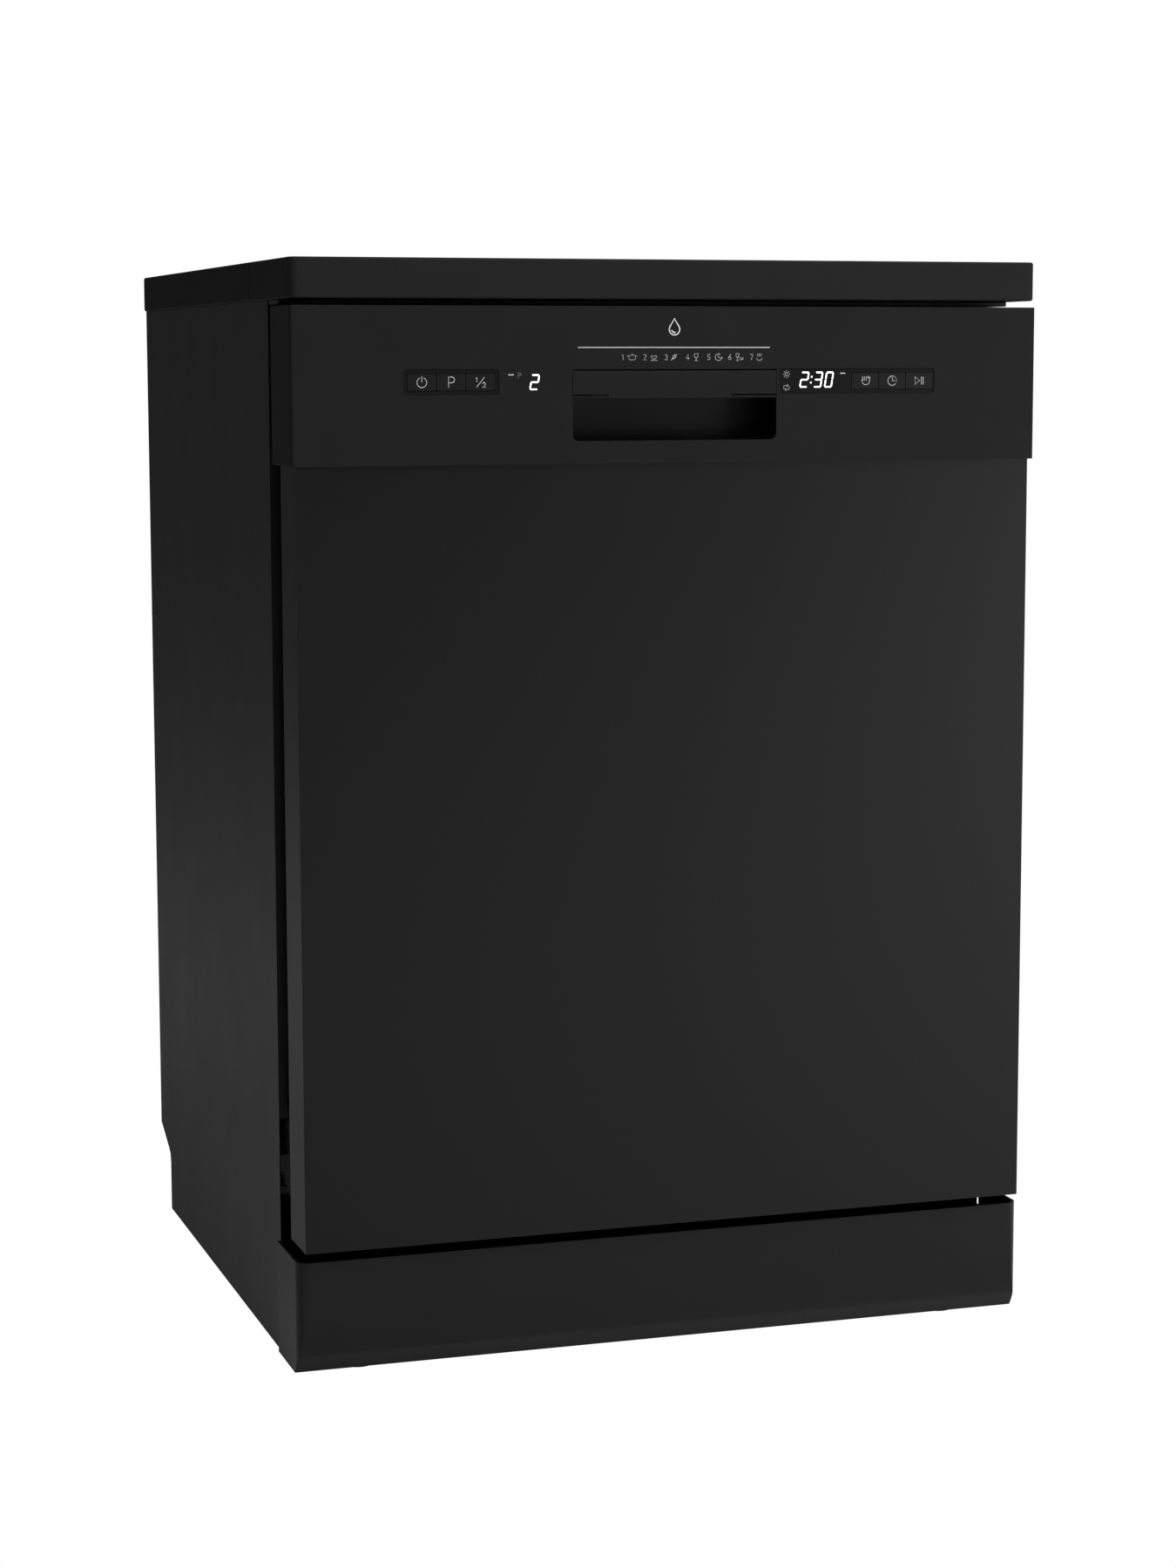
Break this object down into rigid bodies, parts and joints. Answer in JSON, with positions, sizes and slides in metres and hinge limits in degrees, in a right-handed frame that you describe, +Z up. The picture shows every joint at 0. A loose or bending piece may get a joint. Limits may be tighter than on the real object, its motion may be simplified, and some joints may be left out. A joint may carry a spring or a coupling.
{
  "type": "freestanding dishwasher",
  "caption": "Freestanding kitchen dishwasher with a drop-down door, sliding wire baskets, spray arms, a pull handle and push keys.",
  "frame": {"origin": "on the floor, under the middle of the cabinet", "axes": "+X to the right seen from the front, +Y to the back, +Z up; the door faces -Y"},
  "size_m": [0.6, 0.6, 0.85],
  "materials": {
    "worktop": "satin black laminate over board",
    "worktop_edge": "satin black",
    "cabinet_paint": "black powder coat",
    "door_paint": "satin black coated steel",
    "black_plastic": "satin black moulding",
    "key_plastic": "satin black with pale print",
    "window": "gloss smoked black",
    "base_plastic": "moulded black",
    "stainless": "satin stainless steel",
    "seal_rubber": "soft rubber",
    "zinc_steel": "zinc plated",
    "basket_wire": "grey nylon coat",
    "basket_plastic": "grey",
    "grey_plastic": "grey polypropylene",
    "white_plastic": "natural white",
    "dispenser_plastic": "pale grey",
    "cap_blue": "blue",
    "circuit_board": "lacquered green"
  },
  "bodies": {
    "cabinet": {"worktop_board": "worktop", "worktop_front_trim": "worktop_edge", "worktop_edge_trims": "worktop_edge", "left_side_panel": "cabinet_paint", "right_side_panel": "cabinet_paint", "rear_panel": "zinc_steel", "front_frame": "cabinet_paint", "base_tray": "base_plastic", "kick_plate": "black_plastic", "rear_feet": "base_plastic", "tub": "stainless", "tub_gasket": "seal_rubber", "sump": "grey_plastic", "filter_plate": "stainless", "wash_pump": "grey_plastic", "drain_pump": "grey_plastic", "inlet_valve": "white_plastic", "drain_outlet": "grey_plastic", "water_softener": "white_plastic", "feed_tube": "grey_plastic", "roller_mounts": "zinc_steel", "hinge_brackets": "zinc_steel", "door_springs": "zinc_steel", "latch_striker": "zinc_steel", "mains_gland": "base_plastic", "cabinet_screws": "zinc_steel"},
    "door": {"door_outer_panel": "door_paint", "door_liner": "stainless", "console_panel": "black_plastic", "display_windows": "window", "control_board": "circuit_board", "handle_cup": "black_plastic", "hinge_arms": "zinc_steel", "dispenser_body": "dispenser_plastic", "door_screws": "zinc_steel"},
    "handle_lever": {"handle_lever": "black_plastic"},
    "latch_hook": {"latch_hook": "zinc_steel"},
    "dispenser_lid": {"dispenser_lid": "dispenser_plastic"},
    "rinse_cap": {"rinse_cap": "cap_blue"},
    "front_left_foot": {"front_left_foot": "base_plastic"},
    "front_right_foot": {"front_right_foot": "base_plastic"},
    "filter_cup": {"filter_cup": "grey_plastic"},
    "salt_cap": {"salt_cap": "white_plastic"},
    "upper_rollers_front": {"upper_rollers_front": "basket_plastic"},
    "upper_rollers_rear": {"upper_rollers_rear": "basket_plastic"},
    "upper_basket": {"upper_basket": "basket_wire"},
    "upper_spray_arm": {"upper_spray_arm": "grey_plastic"},
    "cup_shelf_left": {"cup_shelf_left": "basket_wire"},
    "cup_shelf_right": {"cup_shelf_right": "basket_wire"},
    "lower_basket": {"lower_basket": "basket_wire", "cutlery_basket": "basket_plastic"},
    "lower_spray_arm": {"lower_spray_arm": "grey_plastic"},
    "lower_wheels_front": {"lower_wheels_front": "basket_plastic"},
    "lower_wheels_rear": {"lower_wheels_rear": "basket_plastic"},
    "power_key": {"power_key": "key_plastic"},
    "program_key": {"program_key": "key_plastic"},
    "half_load_key": {"half_load_key": "key_plastic"},
    "dry_key": {"dry_key": "key_plastic"},
    "delay_key": {"delay_key": "key_plastic"},
    "start_key": {"start_key": "key_plastic"}
  },
  "joints": [
    {"name": "door_hinge", "type": "hinge", "parent": "cabinet", "child": "door", "pos_m": [0, -0.232, 0.182], "axis": [1, 0, 0], "range_deg": [0, 90]},
    {"name": "handle_pull", "type": "hinge", "parent": "door", "child": "handle_lever", "pos_m": [0, -0.295, 0.7647], "axis": [-1, 0, 0], "range_deg": [0, 7], "stiffness_Nm_per_rad": 1.5, "springref_deg": -5.73},
    {"name": "latch_turn", "type": "hinge", "parent": "door", "child": "latch_hook", "pos_m": [0, -0.283, 0.785], "axis": [-1, 0, 0], "range_deg": [0, 17]},
    {"name": "dispenser_lid_slide", "type": "slide", "parent": "door", "child": "dispenser_lid", "axis": [0, 0, -1], "range_m": [0, 0.06]},
    {"name": "rinse_cap_twist", "type": "hinge", "parent": "door", "child": "rinse_cap", "pos_m": [0.048, -0.219, 0.5], "axis": [0, 1, 0], "range_deg": [0, 90]},
    {"name": "power_key_press", "type": "slide", "parent": "door", "child": "power_key", "axis": [0, 1, 0], "range_m": [0, 0.001], "stiffness_N_per_m": 600, "springref_m": -0.0005},
    {"name": "program_key_press", "type": "slide", "parent": "door", "child": "program_key", "axis": [0, 1, 0], "range_m": [0, 0.001], "stiffness_N_per_m": 600, "springref_m": -0.0005},
    {"name": "half_load_key_press", "type": "slide", "parent": "door", "child": "half_load_key", "axis": [0, 1, 0], "range_m": [0, 0.001], "stiffness_N_per_m": 600, "springref_m": -0.0005},
    {"name": "dry_key_press", "type": "slide", "parent": "door", "child": "dry_key", "axis": [0, 1, 0], "range_m": [0, 0.001], "stiffness_N_per_m": 600, "springref_m": -0.0005},
    {"name": "delay_key_press", "type": "slide", "parent": "door", "child": "delay_key", "axis": [0, 1, 0], "range_m": [0, 0.001], "stiffness_N_per_m": 600, "springref_m": -0.0005},
    {"name": "start_key_press", "type": "slide", "parent": "door", "child": "start_key", "axis": [0, 1, 0], "range_m": [0, 0.001], "stiffness_N_per_m": 600, "springref_m": -0.0005},
    {"name": "upper_basket_slide", "type": "slide", "parent": "cabinet", "child": "upper_basket", "axis": [0, -1, 0], "range_m": [0, 0.38]},
    {"name": "lower_basket_slide", "type": "slide", "parent": "cabinet", "child": "lower_basket", "axis": [0, -1, 0], "range_m": [0, 0.45]},
    {"name": "lower_front_wheels_roll", "type": "hinge", "parent": "lower_basket", "child": "lower_wheels_front", "pos_m": [0, -0.12, 0.206], "axis": [1, 0, 0], "continuous": true},
    {"name": "lower_rear_wheels_roll", "type": "hinge", "parent": "lower_basket", "child": "lower_wheels_rear", "pos_m": [0, 0.1928, 0.206], "axis": [1, 0, 0], "continuous": true},
    {"name": "upper_front_rollers_roll", "type": "hinge", "parent": "cabinet", "child": "upper_rollers_front", "pos_m": [0, -0.198, 0.598], "axis": [1, 0, 0], "continuous": true},
    {"name": "upper_rear_rollers_roll", "type": "hinge", "parent": "cabinet", "child": "upper_rollers_rear", "pos_m": [0, -0.154, 0.598], "axis": [1, 0, 0], "continuous": true},
    {"name": "upper_spray_spin", "type": "hinge", "parent": "upper_basket", "child": "upper_spray_arm", "pos_m": [0, 0.02, 0.466], "axis": [0, 0, 1], "continuous": true},
    {"name": "lower_spray_spin", "type": "hinge", "parent": "cabinet", "child": "lower_spray_arm", "pos_m": [0, 0.02, 0.227], "axis": [0, 0, 1], "continuous": true},
    {"name": "left_shelf_fold", "type": "hinge", "parent": "upper_basket", "child": "cup_shelf_left", "pos_m": [-0.2338, 0.0194, 0.574], "axis": [0, -1, 0], "range_deg": [0, 90]},
    {"name": "right_shelf_fold", "type": "hinge", "parent": "upper_basket", "child": "cup_shelf_right", "pos_m": [0.2338, 0.0194, 0.574], "axis": [0, 1, 0], "range_deg": [0, 90]},
    {"name": "filter_twist", "type": "hinge", "parent": "cabinet", "child": "filter_cup", "pos_m": [0.062, -0.042, 0.15], "axis": [0, 0, 1], "range_deg": [-90, 0]},
    {"name": "salt_cap_twist", "type": "hinge", "parent": "cabinet", "child": "salt_cap", "pos_m": [-0.17, 0.13, 0.195], "axis": [0, 0, 1], "continuous": true},
    {"name": "left_foot_turn", "type": "hinge", "parent": "cabinet", "child": "front_left_foot", "pos_m": [-0.245, -0.252, 0.02], "axis": [0, 0, 1], "continuous": true},
    {"name": "right_foot_turn", "type": "hinge", "parent": "cabinet", "child": "front_right_foot", "pos_m": [0.245, -0.252, 0.02], "axis": [0, 0, 1], "continuous": true}
  ],
  "couplings": [
    {"joint": "latch_turn", "follows": "handle_pull", "ratio": 2.4},
    {"joint": "upper_basket_slide", "follows": "door_hinge", "m_per_rad": 0.2419},
    {"joint": "lower_basket_slide", "follows": "door_hinge", "m_per_rad": 0.0732},
    {"joint": "lower_front_wheels_roll", "follows": "door_hinge", "ratio": 4.575},
    {"joint": "lower_rear_wheels_roll", "follows": "door_hinge", "ratio": 4.575},
    {"joint": "upper_front_rollers_roll", "follows": "door_hinge", "ratio": 21.991},
    {"joint": "upper_rear_rollers_roll", "follows": "door_hinge", "ratio": 21.991}
  ]
}
